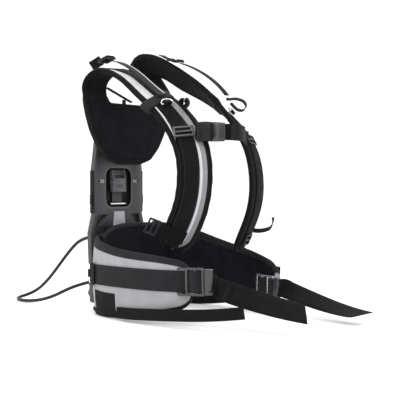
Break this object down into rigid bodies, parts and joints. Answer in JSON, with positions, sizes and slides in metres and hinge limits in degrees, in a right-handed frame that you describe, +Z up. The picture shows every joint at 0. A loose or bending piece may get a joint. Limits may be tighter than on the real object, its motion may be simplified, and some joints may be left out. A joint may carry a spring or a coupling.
{
  "type": "backpack carrying harness",
  "caption": "Backpack harness for a powered unit: ribbed back plate, sliding padded yoke, shoulder straps, chest buckle, padded hip belt, webbing tails and a looped cable.",
  "frame": {"origin": "centre of the four threaded inserts, on the rear face of the back plate", "axes": "+Z up, the wearer faces -Y, +Y points out of the rear face where the unit bolts on, and the wearer's right is -X"},
  "size_m": [0.4036, 1.0122, 0.6868],
  "materials": {
    "plate_plastic": "fine matt grain",
    "trim_plastic": "matt",
    "buckle_plastic": "satin",
    "grey_plastic": "semi gloss",
    "bright_metal": "polished wire",
    "brass_insert": "turned",
    "black_mesh": "spacer mesh",
    "grey_fabric": "fine woven",
    "cable_jacket": "smooth",
    "webbing": "ribbed webbing"
  },
  "bodies": {
    "back_frame": {"adjuster_tray": "plate_plastic", "adjuster_webbing": "webbing", "back_plate": "plate_plastic", "belt_ring_tabs": "webbing", "bottom_strap": "webbing", "cable": "cable_jacket", "cable_gland": "trim_plastic", "cable_plug": "trim_plastic", "cam_base": "plate_plastic", "cam_pin": "bright_metal", "edge_trims": "trim_plastic", "guide_bar": "bright_metal", "hip_wing_left": "grey_fabric", "hip_wing_right": "grey_fabric", "knob_shaft": "bright_metal", "lumbar_board": "plate_plastic", "lumbar_pad": "black_mesh", "mount_inserts": "brass_insert", "waist_coupler_left": "grey_plastic", "waist_coupler_right": "grey_plastic", "waist_tail_left": "webbing", "waist_tail_right": "webbing", "wing_webbing_left": "webbing", "wing_webbing_right": "webbing"},
    "yoke": {"yoke_carriage": "plate_plastic", "yoke_pad": "black_mesh", "haul_strap": "webbing", "yoke_post": "buckle_plastic", "shoulder_pad_right": "black_mesh", "shoulder_pad_left": "black_mesh", "strap_webbing_right": "webbing", "strap_webbing_left": "webbing", "keepers": "webbing", "lifter_webbing_right": "webbing", "lifter_webbing_left": "webbing", "lifter_tails": "webbing", "strap_ring_tabs": "webbing", "lower_lock_right": "buckle_plastic", "lower_lock_left": "buckle_plastic", "lower_webbing_right": "webbing", "lower_webbing_left": "webbing"},
    "cam_lever": {"cam_lever": "grey_plastic"},
    "chest_strap": {"chest_slider_right": "buckle_plastic", "chest_slider_left": "buckle_plastic", "chest_webbing_right": "webbing", "chest_buckle_female": "buckle_plastic"},
    "chest_male": {"chest_buckle_male": "grey_plastic", "chest_webbing_left": "webbing"},
    "chest_prong_upper": {"chest_prong_upper": "grey_plastic"},
    "chest_prong_lower": {"chest_prong_lower": "grey_plastic"},
    "strap_ring_right": {"strap_ring_right": "bright_metal"},
    "strap_ring_left": {"strap_ring_left": "bright_metal"},
    "belt_ring_right": {"belt_ring_right": "bright_metal"},
    "belt_ring_left": {"belt_ring_left": "bright_metal"},
    "lifter_lock_right": {"lifter_lock_right": "buckle_plastic"},
    "lifter_lock_left": {"lifter_lock_left": "buckle_plastic"},
    "waist_lock_right": {"waist_lock_right": "grey_plastic"},
    "waist_lock_left": {"waist_lock_left": "bright_metal"},
    "tension_knob": {"tension_knob": "trim_plastic"}
  },
  "joints": [
    {"name": "torso_length", "type": "slide", "parent": "back_frame", "child": "yoke", "axis": [0, 0, 1], "range_m": [-0.025, 0.035]},
    {"name": "cam_lever_open", "type": "hinge", "parent": "back_frame", "child": "cam_lever", "pos_m": [0, -0.0135, 0.04], "axis": [-1, 0, 0], "range_deg": [0, 75]},
    {"name": "chest_strap_height", "type": "slide", "parent": "yoke", "child": "chest_strap", "axis": [0, -0.5487, -0.836], "range_m": [-0.01, 0.01]},
    {"name": "chest_buckle_release", "type": "slide", "parent": "chest_strap", "child": "chest_male", "axis": [0.6197, -0.7846, -0.02], "range_m": [0, 0.034]},
    {"name": "prong_upper_press", "type": "hinge", "parent": "chest_male", "child": "chest_prong_upper", "pos_m": [-0.09868, -0.43135, 0.16802], "axis": [-0.7848, -0.6198, 0], "range_deg": [0, 6], "stiffness_Nm_per_rad": 0.4},
    {"name": "prong_lower_press", "type": "hinge", "parent": "chest_male", "child": "chest_prong_lower", "pos_m": [-0.09909, -0.43084, 0.13563], "axis": [0.7848, 0.6198, 0], "range_deg": [0, 6], "stiffness_Nm_per_rad": 0.4},
    {"name": "strap_ring_right_swing", "type": "hinge", "parent": "yoke", "child": "strap_ring_right", "pos_m": [-0.1244, -0.30314, 0.2242], "axis": [0.9056, -0.3024, 0.2975], "range_deg": [-10, 60]},
    {"name": "strap_ring_left_swing", "type": "hinge", "parent": "yoke", "child": "strap_ring_left", "pos_m": [0.12473, -0.30521, 0.21673], "axis": [0.903, 0.3623, -0.2311], "range_deg": [-10, 60]},
    {"name": "belt_ring_right_swing", "type": "hinge", "parent": "back_frame", "child": "belt_ring_right", "pos_m": [-0.15648, -0.06607, -0.19589], "axis": [0.0083, 0.0106, 0.9999], "range_deg": [-10, 60]},
    {"name": "belt_ring_left_swing", "type": "hinge", "parent": "back_frame", "child": "belt_ring_left", "pos_m": [0.15649, -0.06608, -0.19717], "axis": [-0.0102, 0.0131, -0.9999], "range_deg": [-10, 60]},
    {"name": "lifter_lock_right_tilt", "type": "hinge", "parent": "yoke", "child": "lifter_lock_right", "pos_m": [-0.10498, -0.09303, 0.34339], "axis": [1, -0.0068, -0.0009], "range_deg": [0, 20]},
    {"name": "lifter_lock_left_tilt", "type": "hinge", "parent": "yoke", "child": "lifter_lock_left", "pos_m": [0.08158, -0.16518, 0.34993], "axis": [0.9901, 0.1335, 0.0438], "range_deg": [0, 20]},
    {"name": "waist_lock_right_tilt", "type": "hinge", "parent": "back_frame", "child": "waist_lock_right", "pos_m": [-0.19237, -0.39676, -0.19169], "axis": [0.0074, -0.0239, -0.9997], "range_deg": [0, 12]},
    {"name": "waist_lock_left_tilt", "type": "hinge", "parent": "back_frame", "child": "waist_lock_left", "pos_m": [0.16379, -0.35652, -0.23532], "axis": [-0.0068, -0.0294, 0.9995], "range_deg": [-12, 0]},
    {"name": "knob_turn", "type": "hinge", "parent": "back_frame", "child": "tension_knob", "pos_m": [-0.078, 0.007, -0.258], "axis": [0, 1, 0], "continuous": true}
  ]
}
